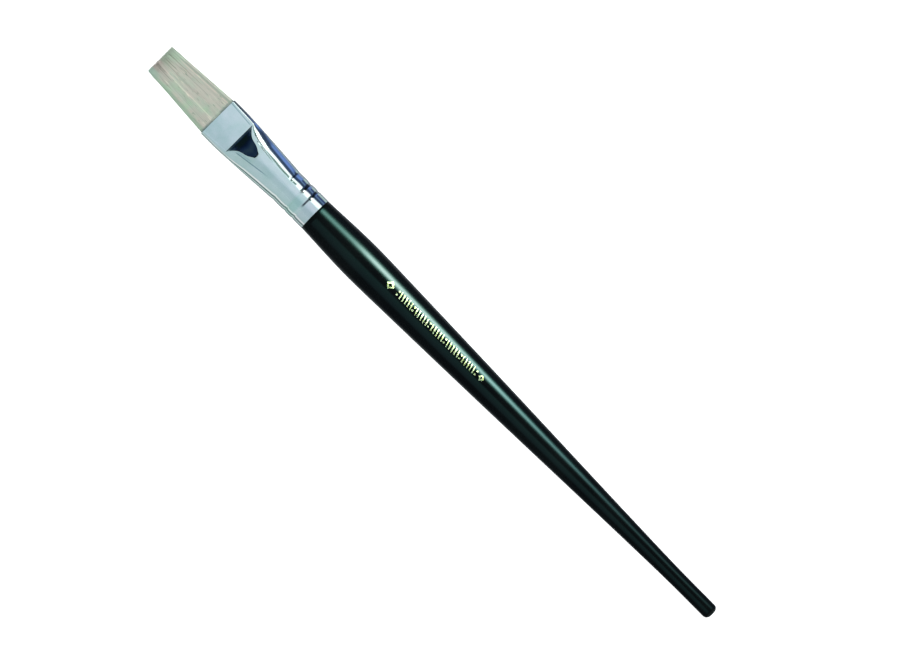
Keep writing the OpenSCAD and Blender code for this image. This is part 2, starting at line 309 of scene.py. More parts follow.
def foil_material():
    made, tree, shader = material("gold_foil", Metallic=1.0)
    place = node(tree, "TexCoord").outputs["Object"]
    wear = noise(tree, place, 1400, 3)
    grain = noise(tree, place, 4000, 2)
    tree.links.new(
        ramp(tree, wear, [(0.34, (0.42, 0.30, 0.08)), (0.60, (0.84, 0.60, 0.42))]),
        shader.inputs["Base Color"],
    )
    tree.links.new(scaled(tree, wear, 0.62, 0.38), shader.inputs["Roughness"])
    tree.links.new(bumped(tree, grain, 0.35, 0.00002), shader.inputs["Normal"])
    return made


# Where the tuft's marks lie, as shares of its length (END) and of its half width (RIM and the line near the
# -Y edge, both painted shade)
END_START, END_FULL, END_UNEVEN = 0.78, 0.97, 0.08
RIM_START, RIM_FULL = 0.78, 0.93
EDGE_SHADE_AT, EDGE_SHADE_HALF = -0.9, 0.07


def bristle_material():
    made, tree, shader = material("hog_bristle", Specular_IOR_Level=0.35)
    strand = node(tree, "Attribute", attribute_name="strand").outputs["Fac"]
    along = node(tree, "Attribute", attribute_name="along").outputs["Fac"]
    rest = node(tree, "Attribute", attribute_name="rest").outputs["Vector"]
    across = node(tree, "Attribute", attribute_name="across").outputs["Fac"]
    growth = noise(tree, rest, 2.2, 3)
    patch = noise(tree, rest, 0.19, 2, (0.6, 1, 1))
    shade_and_stain = noise(tree, rest, 0.5, 2)
    wisp_and_highlight = noise(tree, rest, 1.5, 2, (0.14, 1, 0.5))
    shadow_tick = noise(tree, rest, 1.9, 1, (0.22, 1, 0.5))
    own = ramp(
        tree,
        strand,
        [
            (0.0, (0.38, 0.45, 0.37)),
            (0.12, (0.52, 0.585, 0.495)),
            (0.5, (0.595, 0.66, 0.57)),
            (0.85, (0.66, 0.70, 0.61)),
            (1.0, (0.92, 0.88, 0.76)),
        ],
    )
    shaded = tinted(tree, scaled(tree, growth, 0.0, 0.4), own, (0.55, 0.59, 0.51))
    hue = ramp(
        tree,
        patch,
        [
            (0.38, (0.90, 1.04, 0.95)),
            (0.5, (0.99, 1.0, 1.0)),
            (0.62, (1.07, 0.975, 1.01)),
        ],
    )
    shaded = tinted(tree, 1.0, shaded, hue, "MULTIPLY")
    # Cream wisps: paler bristles, partly a painted highlight; then dark green ticks of painted shadow beside
    # them
    shaded = tinted(tree, ramp(tree, wisp_and_highlight, [(0.65, 0.0), (0.71, 0.7)]), shaded, (0.93, 0.92, 0.78))
    shaded = tinted(tree, ramp(tree, shadow_tick, [(0.28, 0.7), (0.34, 0.0)]), shaded, (0.24, 0.33, 0.25))
    # Painted shade: darker green along the tuft's +Y edge, and a darker line near its -Y edge
    shaded = turned_towards(tree, shaded, (0.40, 0.55, 0.42), rising(tree, across, RIM_START, RIM_FULL), 0.7)
    shaded = turned_towards(tree, shaded, (0.34, 0.44, 0.35), near(tree, across, EDGE_SHADE_AT, EDGE_SHADE_HALF), 0.6)
    uneven_end = maths(tree, "ADD", along, scaled(tree, patch, -END_UNEVEN, END_UNEVEN))
    end_colour = ramp(
        tree,
        maths(tree, "ADD", maths(tree, "MULTIPLY", across, 0.5), 0.5),
        [
            (0.0, (0.44, 0.55, 0.45)),
            (0.45, (0.42, 0.50, 0.40)),
            (0.55, (0.51, 0.43, 0.41)),
            (0.80, (0.52, 0.45, 0.43)),
            (0.87, (0.46, 0.60, 0.54)),
        ],
    )
    tipped = turned_towards(tree, shaded, end_colour, rising(tree, uneven_end, END_START, END_FULL), 0.8)
    # Painted shadow: a thin, ragged and patchy dark line at the bristles' roots by the ferrule's mouth
    ragged = maths(tree, "ADD", along, scaled(tree, shade_and_stain, 0.012, -0.012))
    painted_root_shadow = ramp(tree, ragged, [(0.0, 0.95), (0.012, 0.7), (0.035, 0.0)])
    patchy = ramp(tree, shade_and_stain, [(0.35, 0.35), (0.6, 1.0)])
    rooted = turned_towards(tree, tipped, (0.20, 0.28, 0.27), painted_root_shadow, patchy)
    tree.links.new(rooted, shader.inputs["Base Color"])
    tree.links.new(scaled(tree, growth, 0.42, 0.60), shader.inputs["Roughness"])
    tree.links.new(bumped(tree, growth, 0.3, 0.00003), shader.inputs["Normal"])
    return made


def core_material():
    made, tree, shader = material("shaded_inner_bristle", Specular_IOR_Level=0.15)
    rest = node(tree, "Attribute", attribute_name="rest").outputs["Vector"]
    streak = noise(tree, rest, 2.4, 3, (0.04, 1, 1))
    # Painted shade: the inner bristles are much darker than the outer ones, for the shade inside the bundle
    tree.links.new(
        ramp(tree, streak, [(0.3, (0.12, 0.13, 0.09)), (0.7, (0.36, 0.37, 0.28))]),
        shader.inputs["Base Color"],
    )
    tree.links.new(scaled(tree, streak, 0.6, 0.8), shader.inputs["Roughness"])
    tree.links.new(bumped(tree, streak, 0.7, 0.0002), shader.inputs["Normal"])
    return made


def wood_material():
    made, tree, shader = material("birch", Specular_IOR_Level=0.3)
    place = node(tree, "TexCoord").outputs["Object"]
    grain = noise(tree, place, 260, 5, (0.03, 1, 1))
    tree.links.new(
        ramp(tree, grain, [(0.3, (0.46, 0.31, 0.17)), (0.7, (0.68, 0.52, 0.33))]),
        shader.inputs["Base Color"],
    )
    tree.links.new(scaled(tree, grain, 0.5, 0.7), shader.inputs["Roughness"])
    tree.links.new(bumped(tree, grain, 0.3, 0.0001), shader.inputs["Normal"])
    return made


def cast_material(name, dark, pale, roughness):
    """Glue, resin or thread: mottled, with a slightly uneven surface."""
    made, tree, shader = material(name)
    place = node(tree, "TexCoord").outputs["Object"]
    mottle = noise(tree, place, 500, 4)
    tree.links.new(ramp(tree, mottle, [(0.3, dark), (0.7, pale)]), shader.inputs["Base Color"])
    tree.links.new(scaled(tree, mottle, roughness, roughness + 0.15), shader.inputs["Roughness"])
    tree.links.new(bumped(tree, mottle, 0.3, 0.0001), shader.inputs["Normal"])
    return made


# ---- Ferrule, as in part.scad, with rounded folds and beads ----

COLLAR_D, MOUTH_T, WALL = 16.5, 6.4, 0.35
LAND_LEN, LAND_W, CREASE_W = 13.2, 17.8, 15.8
TONGUE_LEN, TONGUE_Z, CONE_END = 11.8, 7.3, 43.4
TONGUE_END = LAND_LEN + TONGUE_LEN
SIDE_START, SIDE_POWER, SIDE_MERGE = 8.0, 1.15, 0.45
TONGUE_POINT, TONGUE_WAIST = 0.75, 9.0
SEAM, LEAST_SIDE = 0.25, 0.2

# Crimps as (distance from the mouth, depth, half width) and beads as (distance, half width, height)
CRIMPS = ((42.0, 0.12, 1.0), (49.0, 0.22, 1.1), (53.7, 0.18, 1.0))
BEADS = ((45.5, 2.6, 0.09), (51.3, 1.3, 0.03), (56.9, 2.2, 0.03))
CRIMPS_START, CRIMPS_END = 40.9, 55.3

# How far the crease, the tongue's end and the two folds are rounded, and how the flats bulge
CREASE_SOFT, TONGUE_SOFT = 0.28, 0.9
LAND_FOLD, TONGUE_FOLD, FOLD_CHANGE = 0.12, 0.045, 1.5
LAND_DOME, TONGUE_BULGE, DOME_CHANGE = 0.14, -0.09, 3

# Waves of the sheet as (height, radians per mm along, radians per mm across, phase)
SHEET_WAVES = ((0.010, 0.9, 0.55, 0.6), (0.008, 0.42, -0.8, 0.0), (0.004, 0.3, 1.7, 0.0))
# The fold line behind the tongue's corner as (distance from the mouth, y, share of its depth)
FOLD_LINE = ((18.8, 5.05, 0.0), (21.0, 4.75, 1.0), (25.0, 4.15, 1.0), (30.0, 3.45, 0.6), (36.0, 2.6, 0.0))
FOLD_DEPTH, FOLD_HALF = 0.045, 0.36

# Marks on the metal in mm, along from the mouth and across, most of them painted shade and painted
# reflections. A band is (start, full, fading, end), and each crimp's painted shade is (from y, to y,
# strength).
FOLD_LEAN, FOLD_AT_MOUTH = 0.1424, 7.73
FOLD_BAND, FOLD_MARK_HALF = (16.0, 18.0, 29.0, 35.0), 0.42
SHADE_ASIDE, SHADE_HALF, SHADE_FADE = 0.75, 0.8, (25.5, 22.5)
CRIMP_PAINTED_SHADE = ((-7.0, -4.8, 0.9), (-7.0, -3.6, 1.0), (-7.0, 0.2, 1.0))
CRIMP_SHADE_HALF, CRIMP_SHADE_START, CRIMP_SHADE_END = 0.8, 0.8, 2.2
GREEN_BAND, GREEN_SIDE = (47.8, 49.6, 52.4, 53.6), (-3.0, 0.0)
MAUVE_START, MAUVE_SIDE = (54.0, 55.2), (-3.5, -1.5)
EDGE_LEAN = (LAND_W - CREASE_W) / 2 / LAND_LEN
EDGE_LINE_IN, EDGE_LINE_HALF, EDGE_LINE_FADE = 0.42, 0.42, (LAND_LEN + 0.2, LAND_LEN - 1.5)
BURNISH_BAND = (LAND_LEN - 0.3, LAND_LEN + 0.3, TONGUE_END - 1.5, TONGUE_END + 0.5)
BURNISH_HALF = 8.0


def half_width(s):
    return mix(MOUTH_W / 2, COLLAR_D / 2, clamp01((s - SIDE_START) / (CONE_END - SIDE_START)) ** SIDE_POWER)


def sharp_top(s):
    if s <= LAND_LEN:
        return MOUTH_T / 2
    if s <= TONGUE_END:
        u = (s - LAND_LEN) / TONGUE_LEN
        return mix(MOUTH_T / 2, TONGUE_Z, u) + TONGUE_BULGE * 4 * u * (1 - u)
    left = 1 - clamp01((s - TONGUE_END) / (CONE_END - TONGUE_END))
    return mix(COLLAR_D / 2, TONGUE_Z, left**2)


def rounded_corner(s, corner, soft, profile):
    """The profile, with the corner replaced by a parabola over soft to either side."""
    u = (s - corner) / soft
    if abs(u) >= 1:
        return profile(s)
    before, after = profile(corner - soft), profile(corner + soft)
    middle = profile(corner)
    w = (u + 1) / 2
    return (1 - w) ** 2 * before + 2 * w * (1 - w) * middle + w**2 * after


def top_height(s):
    if abs(s - LAND_LEN) < CREASE_SOFT:
        return rounded_corner(s, LAND_LEN, CREASE_SOFT, sharp_top)
    return rounded_corner(s, TONGUE_END, TONGUE_SOFT, sharp_top)


def flat_half(s):
    if s <= LAND_LEN:
        return mix(LAND_W, CREASE_W, s / LAND_LEN) / 2
    u = float(clamp01((s - LAND_LEN) / TONGUE_LEN))
    return max(SEAM, CREASE_W / 2 * ((1 - u) ** TONGUE_POINT - TONGUE_WAIST * u * u * (1 - u) ** 4))


def side_centre(s):
    return flat_half(s) * (1 - ease((s - LAND_LEN) / (SIDE_MERGE * TONGUE_LEN))) if s < TONGUE_END else 0.0


def relief(s):
    """How far the rolled crimps dip and the beads between them stand up, as a change of radius."""
    dip = sum(depth * (1 - ease(abs(s - at) / half)) for at, depth, half in CRIMPS)
    rise = sum(height * math.cos(math.pi / 2 * min(abs(s - at) / half, 1)) ** 2 for at, half, height in BEADS)
    return dip - rise


# Points of a quarter section, as shares of the flat, mm before the fold and shares of the arc
FLAT_AT = np.array([0, 0.2, 0.4, 0.6, 0.75, 0.87, 0.94])
FOLD_AT = np.array([-0.3, -0.2, -0.12, -0.06, 0.0])
ARC_AT = np.concatenate([[0.01, 0.02, 0.035, 0.055, 0.08], np.linspace(0.10, 1.0, 76)])
# A flat with less than this half width draws the fold's points together
FOLD_ROOM = 1.2


def hand_marks(s, y):
    """Shallow unevenness of the pressed sheet, and the fold line that runs back from the tongue's corner."""
    wave = sum(
        height * np.sin(along * s + across * y + phase)
        for height, along, across, phase in SHEET_WAVES
    )
    at, line, depth = zip(*FOLD_LINE)
    off = (y - np.interp(s, at, line)) / FOLD_HALF
    groove = float(np.interp(s, at, depth)) * FOLD_DEPTH * np.clip(1 - off**2, 0, 1) ** 2
    return wave - groove


def fade_at_side(y, z, a, top):
    """1 on the section's upper face, easing to 0 towards its side, so that both halves meet there."""
    return clamp01(z / (0.35 * top)) ** 2 * ease((a - y) / (0.25 * a))


def section(s, inset):
    """One closed ring of the tube at s, inset from its outer surface, from the top centre round by +Y."""
    dip = inset + relief(s)
    a = half_width(s) - dip
    top = top_height(s) - dip
    w = min(flat_half(s), a - LEAST_SIDE)
    c = min(float(side_centre(s)), w)
    sweep = math.acos(min(max((w - c) / (a - c), 0), 1))
    b = top / math.sin(sweep)
    fold = FOLD_AT * min(1.0, w / FOLD_ROOM)
    y_flat = np.concatenate([FLAT_AT * (w + fold[0]), w + fold])
    phi = sweep * (1 - ARC_AT)
    y = np.concatenate([y_flat, c + (a - c) * np.cos(phi)])
    arc = b * np.sqrt(np.maximum(1 - np.clip((y - c) / (a - c), 0, 1) ** 2, 0))
    fold_soft = mix(LAND_FOLD, TONGUE_FOLD, ease((s - LAND_LEN) / FOLD_CHANGE))
    z = smooth_min(np.full_like(y, top), arc, fold_soft)
    dome = LAND_DOME * (1 - ease((s - LAND_LEN) / DOME_CHANGE)) * np.minimum(y / w, 1.0) ** 2
    fade = fade_at_side(y, z, a, top)
    z = z - dome * fade + fade * hand_marks(s, y)
    z[-1] = 0.0
    quarter = np.column_stack([y, z])
    right_down = quarter[::-1][1:] * (1, -1)
    left_down = quarter[1:] * (-1, -1)
    left_up = quarter[::-1][1:-1] * (-1, 1)
    loop = np.concatenate([quarter, right_down, left_down, left_up])
    return np.column_stack([np.full(len(loop), s), loop])


def lip(at, way):
    """(distance, inset) round the wall's edge at one end of the tube, from the outside in."""
    half = WALL / 2
    turns = np.radians([15, 35, 55, 75, 90, 105, 125, 145, 165])
    return [(at + way * half * math.sin(t), half - half * math.cos(t)) for t in turns]


def ferrule_path():
    """(distance, inset) of the rings: along the outside, round the far edge, back inside, round the mouth."""
    half = WALL / 2
    outside = np.concatenate(
        [
            np.linspace(half, LAND_LEN - 0.4, 16),
            LAND_LEN + np.array([-0.28, -0.2, -0.1, 0, 0.1, 0.2, 0.28]),
            np.linspace(LAND_LEN + 0.45, TONGUE_END - 2.5, 36),
            TONGUE_END - np.array([2.2, 1.8, 1.45, 1.15, 0.9, 0.7, 0.5, 0.35, 0.22, 0.12, 0.05]),
            TONGUE_END + np.array([0.02, 0.2, 0.4, 0.65, 0.9]),
            np.linspace(TONGUE_END + 1.2, CRIMPS_START - 0.2, 64),
            np.arange(CRIMPS_START, CRIMPS_END, 0.16),
            np.linspace(CRIMPS_END + 0.2, FERRULE_LEN - half, 9),
        ]
    )
    inside = np.concatenate(
        [
            np.linspace(FERRULE_LEN - half, 41, 30),
            np.linspace(40, TONGUE_END + 0.7, 5),
            np.linspace(TONGUE_END, LAND_LEN + 0.3, 12),
            np.linspace(LAND_LEN, half, 6),
        ]
    )
    out = [(s, 0.0) for s in outside]
    back = [(s, WALL) for s in inside]
    return out + lip(FERRULE_LEN - half, 1) + back + lip(half, -1)[::-1]


def make_ferrule():
    rings = [section(s, inset) for s, inset in ferrule_path()]
    faces = ring_quads(len(rings), len(rings[0]), closed=True)
    made = mesh_object("nickel_ferrule", to_world(np.concatenate(rings)), faces)
    dress(made, nickel_material())
    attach(made, "handle")
    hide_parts("ferrule")
    return made


# ---- Handle, as in part.scad, turned smoothly ----

TAIL_LEN, TAIL_D, TAIL_FILLET, COAT = 14.4, 7.1, 2.2, 0.15
# Girths as (distance from the ferrule's end, diameter), and the number of rings from each to the next
GIRTHS = ((0, 16.4), (28.6, 18.4), (50, 17.5), (110, 14.1), (198, 8.4), (HANDLE_LEN - TAIL_LEN, TAIL_D))
SPAN_STEPS = (14, 12, 22, 26, 14)
# Points in a ring, and the radius at which the tail's end counts as closed
TURNED, CLOSED = 128, 0.01


def girth_slope(i):
    if i in (1, len(GIRTHS) - 1):
        return 0.0
    a, b = GIRTHS[max(i - 1, 0)], GIRTHS[i + 1]
    return (b[1] - a[1]) / (b[0] - a[0]) / 2


def handle_outline():
    """(distance from the ferrule's end, radius) from the ferrule to the tail's rounded end."""
    outline = []
    for i, steps in enumerate(SPAN_STEPS):
        (x0, d0), (x1, d1) = GIRTHS[i], GIRTHS[i + 1]
        run = x1 - x0
        for u in np.arange(steps) / steps:
            lift = u * (1 - u) ** 2 * girth_slope(i) - u * u * (1 - u) * girth_slope(i + 1)
            outline.append((x0 + run * u, mix(d0, d1, ease(u)) / 2 + run * lift))
    outline += [(x, TAIL_D / 2) for x in np.linspace(GIRTHS[-1][0], HANDLE_LEN - TAIL_FILLET, 6)]
    outline += [
        (
            HANDLE_LEN - TAIL_FILLET + TAIL_FILLET * math.sin(t),
            TAIL_D / 2 - TAIL_FILLET + TAIL_FILLET * math.cos(t),
        )
        for t in np.radians(np.linspace(9, 90, 10))
    ]
    return outline + [(HANDLE_LEN, 0.8), (HANDLE_LEN, CLOSED)]


def make_handle():
    outer = handle_outline()
    inner = [(min(x, HANDLE_LEN - COAT), max(r - COAT, CLOSED)) for x, r in outer[::-1]]
    front = outer[0][1]
    soft_edge = [(0, front - COAT), (0, front - 0.08), (0.02, front - 0.04), (0.06, front - 0.01)]
    profile = [*soft_edge, *outer[1:]]
    turn = np.arange(TURNED) * 2 * math.pi / TURNED
    rings = [
        np.column_stack([np.full(TURNED, FERRULE_LEN + x), r * np.sin(turn), r * np.cos(turn)])
        for x, r in [*profile, *inner[:-1]]
    ]
    made = mesh_object(
        "lacquered_handle",
        to_world(np.concatenate(rings)),
        ring_quads(len(rings), TURNED, closed=True),
    )
    dress(made, lacquer_material())
    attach(made, "handle")
    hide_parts("lacquer_coat")
    return made


# ---- Tuft ----

HEEL_T, TIP_W, TIP_T, BEND_X = 5.6, 14.8, 2.4, 8.5
HEEL_SIDE, TIP_SIDE, THIN_POWER = 1.1, 0.7, 0.92
ROOT_DEPTH = 3.0

# Strands: the gaps and the shaking of their roots, the dense outer layers, and the share kept inside them
GAP, ROW_SHARE, SHAKE = 0.2, 0.866, 0.035
OUTER_V, OUTER_U, INNER_SHARE = 0.68, 0.93, 0.16
SIDES, RADII = 5, (0.088, 0.118)
STATIONS = (0, 0.04, 0.11, 0.20, 0.30, 0.41, 0.52, 0.63, 0.73, 0.82, 0.90, 0.955, 0.985)
CLUMPS, CLUMP_NARROW, CLUMP_PULL = 110, 30, (0.10, 0.42)
SHORT_SHARE, STRAY_SHARE, ODD_SHARE = 0.05, 0.012, 0.022
rng = np.random.default_rng(11)


def bundle_half(x):
    """The bundle's half width, half thickness and round side's depth, at x from the mouth to the tips."""
    u = clamp01(x / TUFT_LEN)
    wide = mix(HEEL_W, TIP_W, u) / 2
    thick = mix(HEEL_T, TIP_T, clamp01((x - BEND_X * 0.5) / (TUFT_LEN - BEND_X * 0.5)) ** THIN_POWER) / 2
    return wide, thick, mix(HEEL_SIDE, TIP_SIDE, u)


def bundle_point(u, v, x):
    """Where a bristle at (u, v), each from -1 to 1 across the bundle, is at x."""
    wide, thick, side = bundle_half(x)
    return u * (wide - side * (1 - np.sqrt(np.maximum(1 - v * v, 0)))), v * thick


def bristle_roots():
    """Even, slightly shaken places for the bristles, dense in the outer layers and thin in the middle."""
    wide, thick, side = bundle_half(0)
    spots = []
    for row, z in enumerate(np.arange(-thick + 0.1, thick - 0.09, GAP * ROW_SHARE)):
        v = z / thick
        reach = wide - side * (1 - math.sqrt(1 - v * v)) - 0.1
        y = np.arange(-reach + (row % 2) * GAP / 2, reach, GAP)
        spots.append(np.column_stack([y, np.full(len(y), z)]))
    spots = np.concatenate(spots) + rng.normal(0, SHAKE, (sum(map(len, spots)), 2))
    v = np.clip(spots[:, 1] / thick, -0.97, 0.97)
    u = np.clip(spots[:, 0] / (wide - side * (1 - np.sqrt(1 - v * v))), -0.985, 0.985)
    outer = (np.abs(v) > OUTER_V) | (np.abs(u) > OUTER_U)
    keep = outer | (rng.random(len(u)) < INNER_SHARE)
    return u[keep], v[keep]


def strand_paths(u, v):
    """Every bristle's line as x, y and z at each station, its length, and the clump that it leans to."""
    count = len(u)
    clumps = rng.uniform(-1, 1, (CLUMPS, 2))
    apart = (u[:, None] - clumps[:, 0]) ** 2 * CLUMP_NARROW + (v[:, None] - clumps[:, 1]) ** 2
    clump = np.argmin(apart, axis=1)
    pull = rng.uniform(*CLUMP_PULL, count)
    tip_u = np.clip(mix(u, clumps[clump, 0], pull * 0.8), -1, 1)
    tip_v = np.clip(mix(v, clumps[clump, 1], pull * 0.35), -0.97, 0.97)
    long = TUFT_LEN + 0.25 - np.abs(rng.normal(0, 0.33, count)) - 1.6 * (rng.random(count) < SHORT_SHARE)
    long -= 0.35 * np.abs(np.sin(7 * u + 1.3)) * rng.random(count)
    x = np.concatenate([np.full((1, count), -ROOT_DEPTH), np.array(STATIONS)[:, None] * long])
    reach = clamp01(x / TUFT_LEN)
    y, z = bundle_point(mix(u, tip_u, reach**1.4), mix(v, tip_v, reach**1.4), x)
    phase = rng.uniform(0, 2 * math.pi, (CLUMPS, 2))[clump]
    own_phase = rng.uniform(0, 2 * math.pi, (count, 2))
    swing = reach**1.3
    wave = 2 * math.pi * x
    y = y + swing * (0.16 * np.sin(wave / 46 + phase[:, 0]) + 0.07 * np.sin(wave / 19 + own_phase[:, 0]))
    z = z + swing * (0.10 * np.sin(wave / 41 + phase[:, 1]) + 0.05 * np.sin(wave / 17 + own_phase[:, 1]))
    stray = rng.random(count) < STRAY_SHARE
    away = rng.uniform(0.25, 0.75, count) * stray
    y = y + away * np.sign(u) * reach**2
    z = z + away * 0.6 * np.sign(v) * reach**2
    return x, y, z, long, clump


def strand_points(x, y, z, long):
    """Rings of points round every bristle's line, then the middle points of its root and its tip."""
    rings, count = x.shape
    thick = rng.uniform(*RADII, count)
    radius = thick * np.interp(clamp01(x / TUFT_LEN), [0, 0.7, 0.93, 1.0], [1.0, 0.86, 0.62, 0.30])
    spin = rng.uniform(0, 2 * math.pi, count)
    turn = (np.arange(SIDES) * 2 * math.pi / SIDES)[None, :, None] + spin
    ring_y = y[:, None, :] + radius[:, None, :] * np.cos(turn)
    ring_z = z[:, None, :] + radius[:, None, :] * np.sin(turn)
    ring_x = np.broadcast_to(x[:, None, :], ring_y.shape)
    body = np.stack([ring_x, ring_y, ring_z], -1).transpose(2, 0, 1, 3).reshape(count, rings * SIDES, 3)
    root_end = np.stack([x[0] - 0.05, y[0], z[0]], -1)[:, None, :]
    tip_end = np.stack([long, y[-1], z[-1]], -1)[:, None, :]
    return np.concatenate([body, root_end, tip_end], axis=1)


def strand_tones(clump):
    """How pale every bristle is, from 0 to 1: alike within a clump, and a few of them black or white."""
    count = len(clump)
    tone = rng.random(count)
    tone = np.clip(tone * 0.7 + 0.15 + rng.normal(0, 0.07, CLUMPS)[clump], 0, 1)
    tone[rng.random(count) < ODD_SHARE] = 1.0
    tone[rng.random(count) < ODD_SHARE] = 0.0
    return tone


def make_strands():
    u, v = bristle_roots()
    x, y, z, long, clump = strand_paths(u, v)
    points = strand_points(x, y, z, long)
    tone = strand_tones(clump)
    per = points.shape[1]
    faces = [part[:, ::-1] for part in tube_faces(len(x), SIDES)]
    for name, chosen, parts in (
        ("tuft_left", u > 0, ("bristle_heel_left", "bristle_toe_left")),
        ("tuft_right", u <= 0, ("bristle_heel_right", "bristle_toe_right")),
    ):
        own = points[chosen].reshape(-1, 3)
        offset = (np.arange(chosen.sum()) * per)[:, None, None]
        own_faces = [(part[None] + offset).reshape(-1, part.shape[1]) for part in faces]
        made = mesh_object(name, to_world(own * (-1, 1, 1)), *own_faces)
        keep_attribute(made, "strand", np.repeat(tone[chosen], per))
        keep_attribute(made, "along", clamp01(own[:, 0] / TUFT_LEN))
        keep_attribute(made, "across", np.repeat(u[chosen], per))
        keep_rest(made, own)
        dress(made, BRISTLE)
        finish_tuft(made, *parts)


def keep_attribute(obj, name, values):
    obj.data.attributes.new(name, "FLOAT", "POINT").data.foreach_set("value", values.astype(np.float32))


def keep_rest(obj, points):
    """Each point's place at rest in mm, so that a pattern stays on the bristle when the tuft bends."""
    rest = obj.data.attributes.new("rest", "FLOAT_VECTOR", "POINT")
    rest.data.foreach_set("vector", points.astype(np.float32).ravel())


def finish_tuft(obj, *nodes):
    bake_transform(obj)
    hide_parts(*nodes)


CORE_SIDES, CORE_SHARE, CORE_END_SHARE = 120, 0.82, 0.5


def make_core():
    """The packed bristles under the outer layers, as one closed ribbed form."""
    stations = np.concatenate([[-ROOT_DEPTH], np.linspace(0, TUFT_LEN - 3.2, 22), [TUFT_LEN - 2.6]])
    turn = np.arange(CORE_SIDES) * 2 * math.pi / CORE_SIDES
    u = np.sign(np.cos(turn)) * np.abs(np.cos(turn)) ** 0.35
    v = np.sin(turn)
    rings = []
    for x in stations:
        wide, thick, _ = bundle_half(x)
        share = CORE_END_SHARE if x == stations[-1] else CORE_SHARE
        y = u * (wide - 0.45) * (1 + 0.006 * np.sin(turn * 31))
        z = np.sign(v) * np.abs(v) ** 0.6 * thick * share * (1 + 0.03 * np.sin(turn * 43))
        rings.append(np.column_stack([np.full(CORE_SIDES, x), y, z]))
    points = np.concatenate([*rings, [[stations[0], 0, 0]], [[stations[-1] + 0.2, 0, 0]]])
    made = mesh_object("tuft_core", to_world(points * (-1, 1, 1)), *tube_faces(len(rings), CORE_SIDES))
    keep_rest(made, points)
    dress(made, core_material())
    finish_tuft(made, "bristle_heel_left", "bristle_heel_right", "bristle_toe_left", "bristle_toe_right")


# ---- Pieces ----

BRISTLE = bristle_material()
nickel_ferrule = make_ferrule()
lacquered_handle = make_handle()
make_core()
make_strands()
dress(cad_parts["foil_imprint"], foil_material())
dress(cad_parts["wooden_handle"], wood_material())
for name, dark, pale, roughness in (
    ("handle_glue", (0.42, 0.28, 0.09), (0.62, 0.45, 0.18), 0.3),
    ("setting_resin", (0.10, 0.05, 0.03), (0.20, 0.11, 0.06), 0.25),
    ("binding_thread", (0.55, 0.53, 0.48), (0.80, 0.78, 0.72), 0.7),
):
    dress(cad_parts[name], cast_material(name, dark, pale, roughness))

# ---- Camera, straight above ----

VIEW_WIDTH = 0.3906
LENS, SENSOR = 135.0, 36.0
camera = bpy.data.objects.new("camera", bpy.data.cameras.new("camera"))
camera.data.lens = LENS
camera.data.sensor_width = SENSOR
camera.location = (-0.0033, -0.0053, AXIS_Z * MM + VIEW_WIDTH * LENS / SENSOR)
camera.rotation_euler = (0, 0, math.radians(-134.85))
bpy.context.collection.objects.link(camera)
bpy.context.scene.camera = camera
bpy.context.scene.view_settings.view_transform = "Standard"

# ---- Floor: the brush lies on its belly and its tail ----

FLOOR_SIZE, FLOOR_GAP = 1.2, 0.02
tail_at, tail_bottom = HANDLE_LEN - TAIL_FILLET, AXIS_Z - TAIL_D / 2
belly = [(x, AXIS_Z - r) for x, r in handle_outline() if x < GIRTHS[-2][0]]
lean = max((tail_bottom - bottom) / (tail_at - x) for x, bottom in belly)
slope = math.atan(lean)
along = np.array([math.cos(slope), 0, -math.sin(slope)])
rest_at = np.array([ferrule_low.x - tail_at * MM, 0, (tail_bottom - FLOOR_GAP) * MM])
corners = [
    rest_at + along * FLOOR_SIZE * i + np.array([0, FLOOR_SIZE * j, 0])
    for i, j in ((-1, -1), (1, -1), (1, 1), (-1, 1))
]
floor = mesh_object("floor", corners, np.array([[0, 1, 2, 3]]))
floor_paint, _, floor_shader = material("white_board", Roughness=0.9, Specular_IOR_Level=0.0)
floor_shader.inputs["Base Color"].default_value = (0.9, 0.9, 0.9, 1)
floor_shader.inputs["Emission Color"].default_value = (1, 1, 1, 1)
floor_shader.inputs["Emission Strength"].default_value = 0.8
dress(floor, floor_paint)
floor.visible_glossy = False

# ---- Studio: a soft top light, cards that only the metal or only the lacquer mirrors, and a dim room ----


def area_light(name, centre, towards, size, colour, radiance, glossy, diffuse):
    """A soft panel of size (x, y) in metres that shines from centre to the point towards."""
    light = bpy.data.lights.new(name, "AREA")
    light.shape = "RECTANGLE"
    light.size, light.size_y = size
    light.color = colour
    light.energy = radiance * math.pi * size[0] * size[1]
    lamp = bpy.data.objects.new(name, light)
    back = np.array(centre, float) - np.array(towards, float)
    back /= np.linalg.norm(back)
    right = np.array([1.0, 0, 0])
    right -= back * right.dot(back)
    right /= np.linalg.norm(right)
    up = np.cross(back, right)
    lamp.matrix_world = Matrix([(right[i], up[i], back[i], centre[i]) for i in range(3)]).to_4x4()
    lamp.visible_camera = False
    lamp.visible_glossy = glossy
    lamp.visible_diffuse = diffuse
    bpy.context.collection.objects.link(lamp)
    return lamp


def shaped(lamp, along_x, across, blend="B_SPLINE"):
    """Gives the panel's light a profile along its length and across it, each as stops of a ramp."""
    lamp.data.use_nodes = True
    tree = lamp.data.node_tree
    where = node(tree, "NewGeometry").outputs["Parametric"]
    parts = node(tree, "SeparateXYZ", {0: where})
    first = ramp(tree, parts.outputs[0], along_x, blend)
    second = ramp(tree, parts.outputs[1], across, blend)
    both = node(tree, "VectorMath", {0: first, 1: second}, operation="MULTIPLY").outputs[0]
    tree.links.new(both, tree.nodes["Emission"].inputs["Color"])


def at_angle(x, degrees, distance):
    """The point at that distance from the brush's axis, at an angle from straight up towards +Y."""
    t = math.radians(degrees)
    return x, distance * math.sin(t), AXIS_Z * MM + distance * math.cos(t)


def lit_group(name, *objects):
    group = bpy.data.collections.new(name)
    for obj in objects:
        group.objects.link(obj)
    return group


